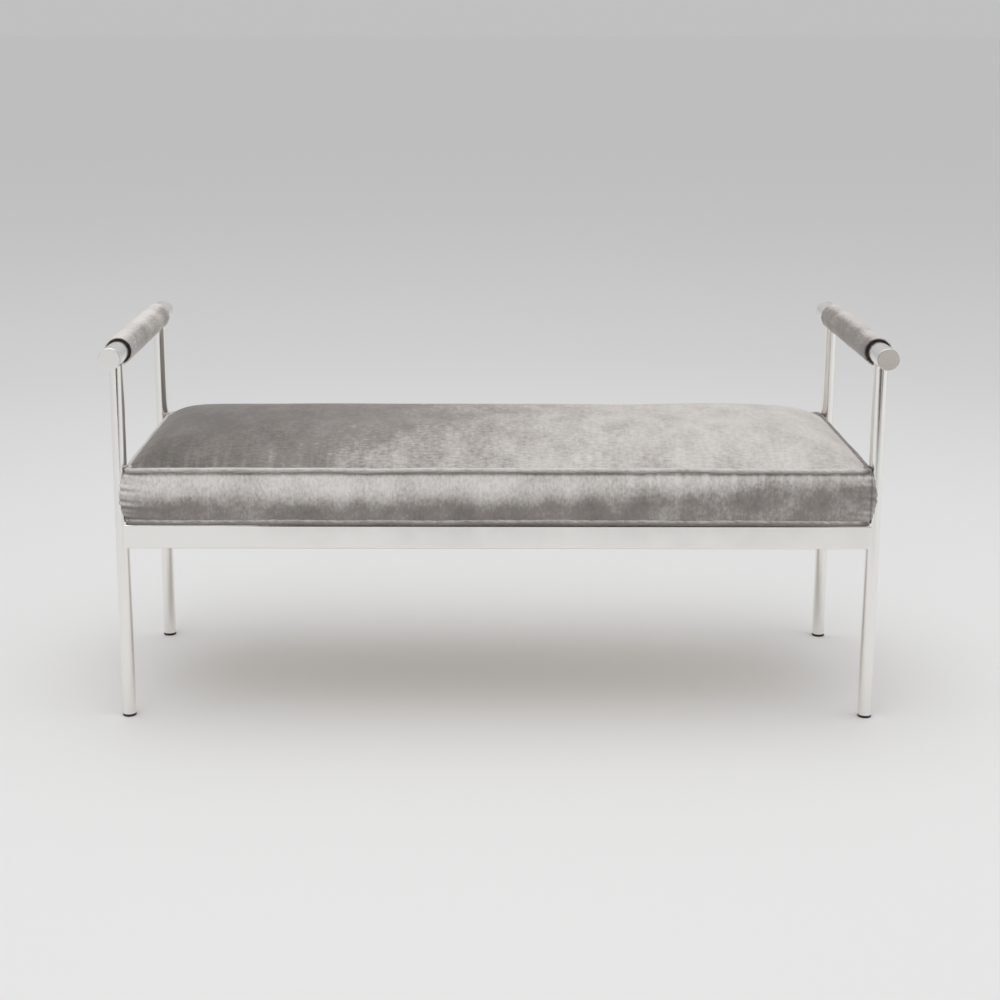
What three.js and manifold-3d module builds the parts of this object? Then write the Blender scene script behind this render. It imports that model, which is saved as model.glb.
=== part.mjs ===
// Upholstered bench: a welded frame of polished round and flat tube, two padded arm bars,
// and a loose boxed cushion with a welt round its top and bottom edges.
// Millimetres, +X along the bench, +Y to the back, +Z up, origin on the floor under the middle.
import * as THREE from 'three';
import { mergeVertices } from 'three/addons/utils/BufferGeometryUtils.js';
import Module from 'manifold-3d';

// Overall sizes
const BENCH_WIDTH = 1250;
const BENCH_HEIGHT = 625;
const ARM_LENGTH = 486;
const LEG_DEPTH_SPACING = 390;

// Frame tubes
const LEG_DIAMETER = 22;
const LEG_WALL = 1.5;
const BAR_DIAMETER = 35;
const BAR_WALL = 1.5;
const RAIL_TOP = 326;
const RAIL_HEIGHT = 40;
const RAIL_THICKNESS = 20;
const RAIL_WALL = 1.5;
const CROSS_BAR_SIZE = 20;
const CROSS_BAR_WALL = 1.5;
const CROSS_BAR_SPACING = 420;

// Bar end discs and leg glides, each with a plug inside its tube
const CAP_THICKNESS = 3;
const CAP_PLUG_LENGTH = 12;
const CAP_CHAMFER = 0.8;
const GLIDE_THICKNESS = 4;
const GLIDE_PLUG_LENGTH = 16;
const GLIDE_CHAMFER = 0.8;

// Arm pads
const PAD_DIAMETER = 46;
const PAD_END_TO_LEG_AXIS = 22;
const PAD_FOAM_RECESS = 3;
const PAD_END_ROUND = 2;
const VELVET_THICKNESS = 1.2;

// Seat deck, corner plates and screws
const DECK_THICKNESS = 12;
const DECK_EDGE_CLEARANCE = 1;
const PLATE_THICKNESS = 3;
const PLATE_SIDE = 60;
const PLATE_SCREW_INSET = 18;
const CROSS_BAR_SCREW_SPACING = 200;
const SCREW_DIAMETER = 4;
const SCREW_HEAD_DIAMETER = 8.5;
const SCREW_HEAD_HEIGHT = 2.6;
const SCREW_DEPTH_IN_DECK = 8;
const SCREW_TIP_ROOM = 1;

// Seat cushion: the seam line is the line that the welts follow
const WELT_DIAMETER = 10;
const SEAM_TO_LEG_AXIS = 12;
const SEAM_IN_FRONT_OF_LEG_AXIS = 16;
const SEAM_CORNER_RADIUS = 9;
const SEAM_DRAW_IN = 3;
const BOXING_HEIGHT = 85;
const BOXING_BULGE = 8;
const CROWN_HEIGHT = 44;
const CROWN_POWER_ALONG = 15;
const CROWN_POWER_ACROSS = 4;

// Clearances
const FIT_GAP = 0.3;
const LEG_CLEARANCE = 0.8;
const MERGE_DISTANCE = 1e-4;

// Facets
const LEG_SEGMENTS = 20;
const BAR_SEGMENTS = 28;
const SCREW_SEGMENTS = 10;
const WELT_SEGMENTS = 8;
const CORNER_STEPS = 2;
const LONG_STEPS = 8;
const CROWN_RINGS = [0.2, 0.55, 0.8, 0.92, 0.97, 1];
const BOXING_LEVELS = [0, 0.2, 0.5, 0.8, 1];
const LEG_DENT_STEPS = [0.35, 0, -0.25, -0.5, -0.75, -1.1];
const SIDE_MIDDLE_STEPS = [-1 / 3, 1 / 3];

// Places that follow from the sizes
const legX = (BENCH_WIDTH - PAD_DIAMETER) / 2;
const legY = LEG_DEPTH_SPACING / 2;
const legRadius = LEG_DIAMETER / 2;
const barRadius = BAR_DIAMETER / 2;
const barZ = BENCH_HEIGHT - PAD_DIAMETER / 2;
const railBottom = RAIL_TOP - RAIL_HEIGHT;
const railInnerX = legX - RAIL_THICKNESS / 2;
const railInnerY = legY - RAIL_THICKNESS / 2;
const deckBottom = RAIL_TOP - DECK_THICKNESS;
const weltRadius = WELT_DIAMETER / 2;
const seamHalfLength = legX - SEAM_TO_LEG_AXIS;
const seamHalfDepth = legY + SEAM_IN_FRONT_OF_LEG_AXIS;
const lowerWeltZ = RAIL_TOP + FIT_GAP + weltRadius;
const upperWeltZ = lowerWeltZ + BOXING_HEIGHT;
const insideWelts = -(weltRadius + FIT_GAP);
const boxingFromLegAxis = legRadius + LEG_CLEARANCE;
const weltFromLegAxis = boxingFromLegAxis + weltRadius;
const boxingBottom = lowerWeltZ + weltRadius + FIT_GAP;
const boxingTop = upperWeltZ - weltRadius - FIT_GAP;

const bench = new THREE.Group();
const wasm = await Module();
wasm.setup();

// Materials
function finish(color, roughness, metalness) {
  return new THREE.MeshStandardMaterial({ color, roughness, metalness });
}

const nickel = () => finish('#d9d6d0', 0.12, 1);
const velvet = () => finish('#96928e', 0.85, 0);
const darkFoam = () => finish('#2c2a29', 0.95, 0);
const seatFoam = () => finish('#d8cfae', 0.95, 0);
const fibre = () => finish('#eceae4', 0.95, 0);
const liningCloth = () => finish('#2a2a2b', 0.9, 0);
const plywood = () => finish('#c49a6a', 0.7, 0);
const zincSteel = () => finish('#b9bcc0', 0.4, 1);
const blackNylon = () => finish('#1b1b1c', 0.5, 0);

function place(name, geometry, material) {
  const mesh = new THREE.Mesh(geometry, material);
  mesh.name = name;
  bench.add(mesh);
}

// Joining and cutting
function solidOf(geometry) {
  const plain = geometry.clone();
  plain.deleteAttribute('normal');
  plain.deleteAttribute('uv');
  const merged = mergeVertices(plain, MERGE_DISTANCE);
  const vertProperties = new Float32Array(merged.attributes.position.array);
  const triVerts = new Uint32Array(merged.index.array);
  return new wasm.Manifold(new wasm.Mesh({ numProp: 3, vertProperties, triVerts }));
}

function geometryOf(solid) {
  const mesh = solid.getMesh();
  const geometry = new THREE.BufferGeometry();
  geometry.setAttribute('position', new THREE.BufferAttribute(mesh.vertProperties, 3));
  geometry.setIndex(new THREE.BufferAttribute(mesh.triVerts, 1));
  return geometry;
}

function cut(geometry, ...tools) {
  let solid = solidOf(geometry);
  for (const tool of tools) {
    solid = solid.subtract(solidOf(tool));
  }
  return geometryOf(solid);
}

// Plain shapes
function circle(radius, segments) {
  const shape = new THREE.Shape();
  for (let i = 0; i < segments; i += 1) {
    const angle = (2 * Math.PI * i) / segments;
    const x = radius * Math.cos(angle);
    const y = radius * Math.sin(angle);
    if (i === 0) shape.moveTo(x, y);
    else shape.lineTo(x, y);
  }
  shape.closePath();
  return shape;
}

function rectangle(width, height) {
  const shape = new THREE.Shape();
  shape.moveTo(-width / 2, -height / 2);
  shape.lineTo(width / 2, -height / 2);
  shape.lineTo(width / 2, height / 2);
  shape.lineTo(-width / 2, height / 2);
  shape.closePath();
  return shape;
}

function extrude(shape, length) {
  return new THREE.ExtrudeGeometry(shape, { depth: length, bevelEnabled: false, steps: 1 });
}

function roundTube(diameter, wall, length, segments) {
  const shape = circle(diameter / 2, segments);
  shape.holes.push(circle(diameter / 2 - wall, segments));
  return extrude(shape, length);
}

function flatTube(width, height, wall, length) {
  const shape = rectangle(width, height);
  shape.holes.push(rectangle(width - 2 * wall, height - 2 * wall));
  return extrude(shape, length);
}

function upright(radius, bottom, top, x, y, segments) {
  const geometry = extrude(circle(radius, segments), top - bottom);
  geometry.translate(x, y, bottom);
  return geometry;
}

function block(width, depth, height, x, y, bottom) {
  const geometry = new THREE.BoxGeometry(width, depth, height);
  geometry.translate(x, y, bottom + height / 2);
  return geometry;
}

// A turned piece about the Z axis, from [radius, height] points that start and end on the axis
function turned(points, segments) {
  const profile = points.map(([radius, height]) => new THREE.Vector2(radius, height));
  const geometry = new THREE.LatheGeometry(profile, segments);
  geometry.rotateX(Math.PI / 2);
  return geometry;
}

// Legs: round tubes coped at the top to the underside of the arm bars
const corners = [
  { name: 'front_left', sideX: -1, sideY: -1 },
  { name: 'front_right', sideX: 1, sideY: -1 },
  { name: 'rear_left', sideX: -1, sideY: 1 },
  { name: 'rear_right', sideX: 1, sideY: 1 },
];

function barEnvelope(sideX) {
  const geometry = extrude(circle(barRadius + FIT_GAP, BAR_SEGMENTS), ARM_LENGTH);
  geometry.rotateX(-Math.PI / 2);
  geometry.translate(sideX * legX, -ARM_LENGTH / 2, barZ);
  return geometry;
}

for (const { name, sideX, sideY } of corners) {
  const tube = roundTube(LEG_DIAMETER, LEG_WALL, barZ - GLIDE_THICKNESS, LEG_SEGMENTS);
  tube.translate(sideX * legX, sideY * legY, GLIDE_THICKNESS);
  place(`leg_${name}`, cut(tube, barEnvelope(sideX)), nickel());
}

// Glides: black pads as wide as the leg, with a plug up the tube
const glidePlugRadius = legRadius - LEG_WALL - FIT_GAP;
for (const { name, sideX, sideY } of corners) {
  const glide = turned([
    [0, 0],
    [legRadius - GLIDE_CHAMFER, 0],
    [legRadius, GLIDE_CHAMFER],
    [legRadius, GLIDE_THICKNESS],
    [glidePlugRadius, GLIDE_THICKNESS],
    [glidePlugRadius, GLIDE_THICKNESS + GLIDE_PLUG_LENGTH],
    [0, GLIDE_THICKNESS + GLIDE_PLUG_LENGTH],
  ], LEG_SEGMENTS);
  glide.translate(sideX * legX, sideY * legY, 0);
  place(`foot_glide_${name}`, glide, blackNylon());
}

// Arm bars, each closed at both ends by a disc with a plug in the tube
const arms = [
  { name: 'left', sideX: -1 },
  { name: 'right', sideX: 1 },
];
const barTubeLength = ARM_LENGTH - 2 * CAP_THICKNESS;
for (const { name, sideX } of arms) {
  const tube = roundTube(BAR_DIAMETER, BAR_WALL, barTubeLength, BAR_SEGMENTS);
  tube.rotateX(-Math.PI / 2);
  tube.translate(sideX * legX, -barTubeLength / 2, barZ);
  place(`arm_bar_${name}`, tube, nickel());
}

const capPlugRadius = barRadius - BAR_WALL - FIT_GAP;
for (const { name, sideX, sideY } of corners) {
  const cap = turned([
    [0, 0],
    [barRadius - CAP_CHAMFER, 0],
    [barRadius, CAP_CHAMFER],
    [barRadius, CAP_THICKNESS],
    [capPlugRadius, CAP_THICKNESS],
    [capPlugRadius, CAP_THICKNESS + CAP_PLUG_LENGTH],
    [0, CAP_THICKNESS + CAP_PLUG_LENGTH],
  ], BAR_SEGMENTS);
  cap.rotateX((sideY * Math.PI) / 2);
  cap.translate(sideX * legX, (sideY * ARM_LENGTH) / 2, barZ);
  place(`bar_cap_${name}`, cap, nickel());
}

// Arm pads: a foam sleeve on the bar and a velvet cover round it, with the foam set back at the ends
const padLength = LEG_DEPTH_SPACING - 2 * PAD_END_TO_LEG_AXIS;
const coverRadius = PAD_DIAMETER / 2;
const coverInnerRadius = coverRadius - VELVET_THICKNESS;
const padFoamLength = padLength - 2 * PAD_FOAM_RECESS;
const padFoamDiameter = 2 * (coverInnerRadius - FIT_GAP);
const padFoamWall = padFoamDiameter / 2 - barRadius - FIT_GAP;
for (const { name, sideX } of arms) {
  const foam = roundTube(padFoamDiameter, padFoamWall, padFoamLength, BAR_SEGMENTS);
  foam.rotateX(-Math.PI / 2);
  foam.translate(sideX * legX, -padFoamLength / 2, barZ);
  place(`arm_foam_${name}`, foam, darkFoam());
  const half = padLength / 2;
  const cover = new THREE.LatheGeometry([
    new THREE.Vector2(coverInnerRadius, -half),
    new THREE.Vector2(coverRadius - VELVET_THICKNESS / 2, -half),
    new THREE.Vector2(coverRadius, -half + PAD_END_ROUND),
    new THREE.Vector2(coverRadius, half - PAD_END_ROUND),
    new THREE.Vector2(coverRadius - VELVET_THICKNESS / 2, half),
    new THREE.Vector2(coverInnerRadius, half),
    new THREE.Vector2(coverInnerRadius, -half),
  ], BAR_SEGMENTS);
  cover.translate(sideX * legX, 0, barZ);
  place(`arm_cover_${name}`, cover, velvet());
}

// Rails: flat tubes on edge between the legs, coped to them; the side rails also stop at the long rails
function legEnvelopes() {
  const radius = legRadius + FIT_GAP;
  const below = railBottom - RAIL_WALL;
  const above = RAIL_TOP + RAIL_WALL;
  return corners.map(({ sideX, sideY }) =>
    upright(radius, below, above, sideX * legX, sideY * legY, LEG_SEGMENTS));
}

const railZ = RAIL_TOP - RAIL_HEIGHT / 2;
const longRailEnd = legX + legRadius;
for (const { name, sideY } of [{ name: 'front', sideY: -1 }, { name: 'rear', sideY: 1 }]) {
  const rail = flatTube(RAIL_HEIGHT, RAIL_THICKNESS, RAIL_WALL, 2 * legX);
  rail.rotateY(Math.PI / 2);
  rail.translate(-legX, sideY * legY, railZ);
  place(`rail_${name}`, cut(rail, ...legEnvelopes()), nickel());
}

for (const { name, sideX } of arms) {
  const rail = flatTube(RAIL_THICKNESS, RAIL_HEIGHT, RAIL_WALL, 2 * legY);
  rail.rotateX(-Math.PI / 2);
  rail.translate(sideX * legX, -legY, railZ);
  const longRails = [-1, 1].map((sideY) => block(
    2 * longRailEnd,
    RAIL_THICKNESS + 2 * FIT_GAP,
    RAIL_HEIGHT + 2 * RAIL_WALL,
    0,
    sideY * legY,
    railBottom - RAIL_WALL,
  ));
  place(`rail_${name}`, cut(rail, ...legEnvelopes(), ...longRails), nickel());
}

// Cross bars: square tubes under the deck, butted to the long rails
const crossBarX = CROSS_BAR_SPACING / 2;
const crossBarBottom = deckBottom - CROSS_BAR_SIZE;
const screwHoleRadius = SCREW_DIAMETER / 2 + FIT_GAP;
const screwTip = deckBottom + SCREW_DEPTH_IN_DECK;

function screwHole(x, y, bottom) {
  return upright(screwHoleRadius, bottom, screwTip + SCREW_TIP_ROOM, x, y, SCREW_SEGMENTS);
}

const crossBarScrews = [-1, 1].map((sideY) => (sideY * CROSS_BAR_SCREW_SPACING) / 2);
for (const { name, sideX } of arms) {
  const bar = flatTube(CROSS_BAR_SIZE, CROSS_BAR_SIZE, CROSS_BAR_WALL, 2 * railInnerY);
  bar.rotateX(-Math.PI / 2);
  bar.translate(sideX * crossBarX, -railInnerY, crossBarBottom + CROSS_BAR_SIZE / 2);
  const holes = crossBarScrews.map((y) => screwHole(sideX * crossBarX, y, crossBarBottom - FIT_GAP));
  place(`cross_bar_${name}`, cut(bar, ...holes), zincSteel());
}

// Corner plates: three-cornered plates welded inside the seat frame, level with the cross bars' tops
const plateBottom = deckBottom - PLATE_THICKNESS;
const plateScrewX = railInnerX - PLATE_SCREW_INSET;
const plateScrewY = railInnerY - PLATE_SCREW_INSET;
for (const { name, sideX, sideY } of corners) {
  const shape = new THREE.Shape();
  shape.moveTo(sideX * railInnerX, sideY * railInnerY);
  shape.lineTo(sideX * (railInnerX - PLATE_SIDE), sideY * railInnerY);
  shape.lineTo(sideX * railInnerX, sideY * (railInnerY - PLATE_SIDE));
  shape.closePath();
  const plate = extrude(shape, PLATE_THICKNESS);
  plate.translate(0, 0, plateBottom);
  const hole = screwHole(sideX * plateScrewX, sideY * plateScrewY, plateBottom - FIT_GAP);
  place(`corner_plate_${name}`, cut(plate, hole), zincSteel());
}

// Deck: a plywood panel inside the rails, level with their tops
const deckHalfX = railInnerX - DECK_EDGE_CLEARANCE;
const deckHalfY = railInnerY - DECK_EDGE_CLEARANCE;
const deckHoles = [];
for (const { sideX, sideY } of corners) {
  deckHoles.push(screwHole(sideX * plateScrewX, sideY * plateScrewY, deckBottom - FIT_GAP));
}
for (const { sideX } of arms) {
  for (const y of crossBarScrews) {
    deckHoles.push(screwHole(sideX * crossBarX, y, deckBottom - FIT_GAP));
  }
}
const deck = block(2 * deckHalfX, 2 * deckHalfY, DECK_THICKNESS, 0, 0, deckBottom);
place('seat_deck', cut(deck, ...deckHoles), plywood());

// Deck screws: pan heads under the plates and cross bars, shanks up into the deck
function screw(x, y, seat) {
  const geometry = turned([
    [0, seat - SCREW_HEAD_HEIGHT],
    [SCREW_HEAD_DIAMETER / 2 - SCREW_HEAD_HEIGHT / 2, seat - SCREW_HEAD_HEIGHT],
    [SCREW_HEAD_DIAMETER / 2, seat],
    [SCREW_DIAMETER / 2, seat],
    [SCREW_DIAMETER / 2, screwTip],
    [0, screwTip],
  ], SCREW_SEGMENTS);
  geometry.translate(x, y, 0);
  return geometry;
}

for (const { name, sideX, sideY } of corners) {
  const geometry = screw(sideX * plateScrewX, sideY * plateScrewY, plateBottom);
  place(`deck_screw_plate_${name}`, geometry, zincSteel());
}
for (const { name, sideX, sideY } of corners) {
  const geometry = screw(sideX * crossBarX, (sideY * CROSS_BAR_SCREW_SPACING) / 2, crossBarBottom);
  place(`deck_screw_bar_${name}`, geometry, zincSteel());
}

// Seam line of the cushion: stations with an outward direction, side by side from corner to corner.
// The front and right sides are worked out, and the rear and left are the same turned half round.
const cornerX = seamHalfLength - SEAM_CORNER_RADIUS;
const cornerY = seamHalfDepth - SEAM_CORNER_RADIUS;

function arcStations(centreX, centreY, fromDegrees, toDegrees) {
  const list = [];
  for (let i = 0; i <= CORNER_STEPS; i += 1) {
    const degrees = fromDegrees + ((toDegrees - fromDegrees) * i) / CORNER_STEPS;
    const nx = Math.cos(THREE.MathUtils.degToRad(degrees));
    const ny = Math.sin(THREE.MathUtils.degToRad(degrees));
    list.push({ x: centreX + SEAM_CORNER_RADIUS * nx, y: centreY + SEAM_CORNER_RADIUS * ny, nx, ny });
  }
  return list;
}

function frontStations() {
  const straight = [];
  for (let i = 1; i < LONG_STEPS; i += 1) {
    straight.push({ x: cornerX * ((2 * i) / LONG_STEPS - 1), y: -seamHalfDepth, nx: 0, ny: -1 });
  }
  return [
    ...arcStations(-cornerX, -cornerY, -135, -90),
    ...straight,
    ...arcStations(cornerX, -cornerY, -90, -45),
  ];
}

function rightStations() {
  const reach = legRadius + weltRadius;
  const nearLeg = LEG_DENT_STEPS.map((share) => legY + share * reach);
  const half = nearLeg.filter((y) => y < cornerY);
  const middle = SIDE_MIDDLE_STEPS.map((share) => share * legY);
  const places = [...half.map((y) => -y), ...middle, ...half.reverse()];
  return [
    ...arcStations(cornerX, -cornerY, -45, 0),
    ...places.map((y) => ({ x: seamHalfLength, y, nx: 1, ny: 0 })),
    ...arcStations(cornerX, cornerY, 0, 45),
  ];
}

function turnedHalfRound(stations) {
  return stations.map(({ x, y, nx, ny }) => ({ x: -x, y: -y, nx: -nx, ny: -ny }));
}

const cushionSides = {
  front: frontStations(),
  right: rightStations(),
  rear: turnedHalfRound(frontStations()),
  left: turnedHalfRound(rightStations()),
};
const seamStations = Object.values(cushionSides).flatMap((stations) => stations.slice(0, -1));

// A point beside the seam line: drawn in between the corners, and pressed in where a leg stands
function besideSeam({ x, y, nx, ny }, outward, z, keptFromLegAxis) {
  const drawnIn = SEAM_DRAW_IN * Math.max(0, 1 - (x / cornerX) ** 2) * Math.abs(ny);
  const px = x + nx * (outward - drawnIn);
  const py = y + ny * (outward - drawnIn);
  const alongLeg = Math.abs(py) - legY;
  const room = keptFromLegAxis ** 2 - alongLeg ** 2;
  const limit = room > 0 ? legX - Math.sqrt(room) : Infinity;
  return new THREE.Vector3(Math.sign(px) * Math.min(Math.abs(px), limit), py, z);
}

function seamRing(outward, z, keptFromLegAxis) {
  return seamStations.map((station) => besideSeam(station, outward, z, keptFromLegAxis));
}

function ringInsideWelts(z) {
  return seamRing(insideWelts, z, weltFromLegAxis - insideWelts);
}

// A closed surface from points and triangles, turned to face outwards
function closedSurface(points, triangles) {
  let volume = 0;
  for (const [a, b, c] of triangles) {
    volume += points[a].dot(new THREE.Vector3().crossVectors(points[b], points[c]));
  }
  const facing = volume > 0 ? triangles : triangles.map(([a, b, c]) => [a, c, b]);
  const geometry = new THREE.BufferGeometry().setFromPoints(points);
  geometry.setIndex(facing.flat());
  return geometry;
}

// Two triangles over four points, split along the shorter diagonal so that nested sheets split alike
function patch(points, a, b, c, d) {
  if (points[a].distanceTo(points[c]) < points[b].distanceTo(points[d])) return [[a, b, c], [a, c, d]];
  return [[a, b, d], [b, c, d]];
}

// Rings joined one to the next, with a point closing each end
function capped(firstPoint, rings, lastPoint) {
  const count = rings[0].length;
  const points = [firstPoint, ...rings.flat(), lastPoint];
  const triangles = [];
  const at = (ring, i) => 1 + ring * count + (i % count);
  for (let i = 0; i < count; i += 1) {
    triangles.push([0, at(0, i), at(0, i + 1)]);
    for (let ring = 0; ring + 1 < rings.length; ring += 1) {
      triangles.push(...patch(points, at(ring, i), at(ring + 1, i), at(ring + 1, i + 1), at(ring, i + 1)));
    }
    triangles.push([points.length - 1, at(rings.length - 1, i + 1), at(rings.length - 1, i)]);
  }
  return closedSurface(points, triangles);
}

// Rings joined one to the next and the last to the first
function looped(rings) {
  const count = rings[0].length;
  const triangles = [];
  const at = (ring, i) => (ring % rings.length) * count + (i % count);
  for (let ring = 0; ring < rings.length; ring += 1) {
    for (let i = 0; i < count; i += 1) {
      triangles.push([at(ring, i), at(ring + 1, i), at(ring, i + 1)]);
      triangles.push([at(ring, i + 1), at(ring + 1, i), at(ring + 1, i + 1)]);
    }
  }
  return closedSurface(rings.flat(), triangles);
}

// Sections joined one to the next, each a strip with an outer and an inner edge, closed at both ends
function strip(sections) {
  const points = [];
  const triangles = [];
  const height = sections[0].length;
  const quad = (a, b, c, d) => triangles.push([a, b, c], [a, c, d]);
  for (const section of sections) {
    for (const [outer, inner] of section) points.push(outer, inner);
  }
  const at = (column, level, side) => (column * height + level) * 2 + side;
  const top = height - 1;
  for (let column = 0; column + 1 < sections.length; column += 1) {
    const next = column + 1;
    for (let level = 0; level < top; level += 1) {
      quad(at(column, level, 0), at(next, level, 0), at(next, level + 1, 0), at(column, level + 1, 0));
      quad(at(column, level, 1), at(column, level + 1, 1), at(next, level + 1, 1), at(next, level, 1));
    }
    quad(at(column, 0, 0), at(column, 0, 1), at(next, 0, 1), at(next, 0, 0));
    quad(at(column, top, 0), at(next, top, 0), at(next, top, 1), at(column, top, 1));
  }
  const last = sections.length - 1;
  for (let level = 0; level < top; level += 1) {
    quad(at(0, level, 0), at(0, level + 1, 0), at(0, level + 1, 1), at(0, level, 1));
    quad(at(last, level, 0), at(last, level, 1), at(last, level + 1, 1), at(last, level + 1, 0));
  }
  return closedSurface(points, triangles);
}

// Crown of the seat: flat along the middle and falling to the welt at every edge
const crownHalfLength = seamHalfLength + insideWelts;
const crownHalfDepth = seamHalfDepth + insideWelts;

function crownZ(x, y) {
  const along = 1 - Math.min(1, Math.abs(x) / crownHalfLength) ** CROWN_POWER_ALONG;
  const across = 1 - Math.min(1, Math.abs(y) / crownHalfDepth) ** CROWN_POWER_ACROSS;
  return upperWeltZ + CROWN_HEIGHT * along * across;
}

function crownRings(drop) {
  const edge = ringInsideWelts(0);
  return CROWN_RINGS.map((share) => edge.map(({ x, y }) =>
    new THREE.Vector3(share * x, share * y, crownZ(share * x, share * y) - drop)));
}

function crownPeak(drop) {
  return new THREE.Vector3(0, 0, crownZ(0, 0) - drop);
}

const underside = crownRings(VELVET_THICKNESS).reverse();
const topPanel = capped(crownPeak(0), [...crownRings(0), ...underside], crownPeak(VELVET_THICKNESS));
place('cover_top', topPanel, velvet());

// Filling: a straight foam block with a fibre crown on it
const foamBottom = RAIL_TOP + FIT_GAP + VELVET_THICKNESS + FIT_GAP;
const foamBlock = capped(
  new THREE.Vector3(0, 0, foamBottom),
  [ringInsideWelts(foamBottom), ringInsideWelts(boxingTop)],
  new THREE.Vector3(0, 0, boxingTop),
);
place('foam_block', foamBlock, seatFoam());

const fibreDrop = VELVET_THICKNESS + FIT_GAP;
const fibreBottom = boxingTop + FIT_GAP;
const fibreCrown = capped(
  crownPeak(fibreDrop),
  [...crownRings(fibreDrop), ringInsideWelts(fibreBottom)],
  new THREE.Vector3(0, 0, fibreBottom),
);
place('fibre_crown', fibreCrown, fibre());

// Bottom panel: a flat sheet between the bottom welt and the deck
const liningBottom = RAIL_TOP + FIT_GAP;
const liningTop = liningBottom + VELVET_THICKNESS;
const bottomPanel = capped(
  new THREE.Vector3(0, 0, liningBottom),
  [ringInsideWelts(liningBottom), ringInsideWelts(liningTop)],
  new THREE.Vector3(0, 0, liningTop),
);
place('cover_bottom', bottomPanel, liningCloth());

// Boxing: four strips between the welts that bulge at mid height, sewn at the corners
for (const [side, stations] of Object.entries(cushionSides)) {
  const sections = stations.map((station) => BOXING_LEVELS.map((level) => {
    const z = boxingBottom + level * (boxingTop - boxingBottom);
    const bulge = BOXING_BULGE * (1 - (2 * level - 1) ** 2);
    const outer = besideSeam(station, bulge, z, boxingFromLegAxis);
    const inner = besideSeam(station, bulge - VELVET_THICKNESS, z, boxingFromLegAxis + VELVET_THICKNESS);
    return [outer, inner];
  }));
  place(`boxing_${side}`, strip(sections), velvet());
}

// Welts: round covered cords along the seam line, top and bottom
function welt(z) {
  const rings = [];
  for (let i = 0; i < WELT_SEGMENTS; i += 1) {
    const angle = (2 * Math.PI * i) / WELT_SEGMENTS;
    const outward = weltRadius * Math.cos(angle);
    const up = weltRadius * Math.sin(angle);
    rings.push(seamRing(outward, z + up, weltFromLegAxis - outward));
  }
  return looped(rings);
}

place('welt_bottom', welt(lowerWeltZ), velvet());
place('welt_top', welt(upperWeltZ), velvet());

export default bench;
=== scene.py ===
"""Looks of an upholstered bench: a frame of polished nickel tube, two padded arm bars and a
loose boxed cushion in crushed velvet. Metres, +X along the bench, +Y to the back, +Z up."""
import math

import bmesh
import bpy
import numpy as np
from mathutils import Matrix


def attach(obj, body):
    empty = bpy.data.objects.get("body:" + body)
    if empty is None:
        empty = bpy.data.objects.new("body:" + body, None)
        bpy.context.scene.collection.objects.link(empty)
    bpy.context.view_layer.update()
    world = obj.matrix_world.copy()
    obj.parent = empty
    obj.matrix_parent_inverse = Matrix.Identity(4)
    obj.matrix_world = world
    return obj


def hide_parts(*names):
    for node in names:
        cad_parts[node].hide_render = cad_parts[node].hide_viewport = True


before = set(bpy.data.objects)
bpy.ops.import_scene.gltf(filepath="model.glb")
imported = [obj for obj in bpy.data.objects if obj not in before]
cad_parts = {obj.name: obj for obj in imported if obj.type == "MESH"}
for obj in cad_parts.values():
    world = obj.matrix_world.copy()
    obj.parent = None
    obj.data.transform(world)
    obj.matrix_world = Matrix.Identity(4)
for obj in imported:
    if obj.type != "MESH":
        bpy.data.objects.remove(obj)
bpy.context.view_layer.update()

# Legs: four round steel tubes, nickel plated and buffed bright.
# Each is cut to a saddle at the top and welded to the underside of its arm bar.
LEG_X = 0.602
LEG_Y = 0.195
LEG_RADIUS = 0.011
LEG_FOOT = 0.004
LEG_MIDDLE = 0.3
LEG_SEGMENTS = 72
TUBE_WALL = 0.0015
TUBE_EDGE = 0.0004
WELD_REACH = np.array([0, 0.0003, 0.0012])
WELD_DROP = np.array([0.0028, 0.0012, 0.0001])
BAR_RADIUS = 0.0175
BAR_Z = 0.602
CORNERS = {"front_left": (-1, -1), "front_right": (1, -1),
           "rear_left": (-1, 1), "rear_right": (1, 1)}


def linear(colour):
    """Linear colour from an sRGB hex value: each channel through the sRGB curve."""
    channels = [int(colour[i:i + 2], 16) / 255 for i in (1, 3, 5)]
    return [c / 12.92 if c <= 0.04045 else ((c + 0.055) / 1.055) ** 2.4 for c in channels] + [1]


def add_node(tree, kind, settings=None, values=None, links=None, stops=None):
    """A node of that kind with its settings, socket values, incoming links and colour stops."""
    made = tree.nodes.new(kind)
    for name, value in (settings or {}).items():
        setattr(made, name, value)
    for name, value in (values or {}).items():
        made.inputs[name].default_value = value
    for name, source in (links or {}).items():
        tree.links.new(source, made.inputs[name])
    for i, (place, colour) in enumerate(stops or []):
        spot = made.color_ramp.elements[i] if i < 2 else made.color_ramp.elements.new(place)
        spot.position = place
        spot.color = linear(colour)
    return made


def new_material(name):
    """An empty material, its node tree and its shader."""
    material = bpy.data.materials.new(name)
    material.use_nodes = True
    tree = material.node_tree
    return material, tree, tree.nodes["Principled BSDF"]


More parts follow.
